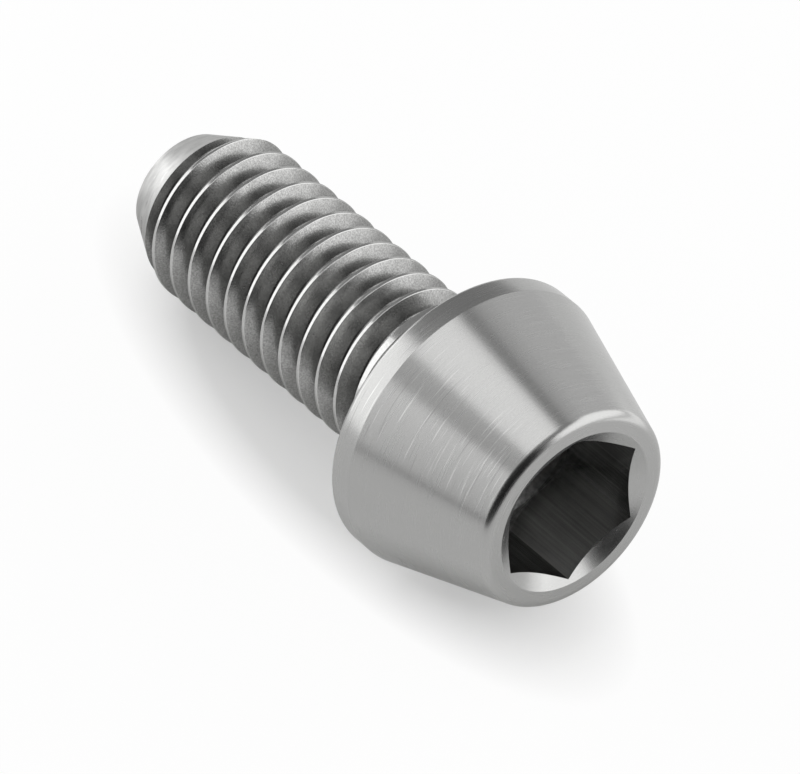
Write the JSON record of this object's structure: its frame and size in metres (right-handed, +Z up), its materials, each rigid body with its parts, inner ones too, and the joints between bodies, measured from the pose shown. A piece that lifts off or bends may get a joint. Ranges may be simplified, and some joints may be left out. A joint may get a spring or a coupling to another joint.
{
  "type": "tapered head hex socket cap screw",
  "caption": "Short metric cap screw with a tapered head, a countersunk hexagon socket and a fully threaded shank with a tapered point, lying at rest.",
  "frame": {"origin": "on the surface that the screw lies on, at the middle of its bounding box", "axes": "+Z up, +X along the screw from tip to head, which rises by the tilt of a screw lying on its rim and thread"},
  "size_m": [0.0176, 0.0084, 0.0085],
  "materials": {
    "bare_metal": "bare titanium alloy: satin turned head and point, darker rolled thread"
  },
  "bodies": {
    "root": {"screw": "bare_metal"}
  },
  "joints": []
}
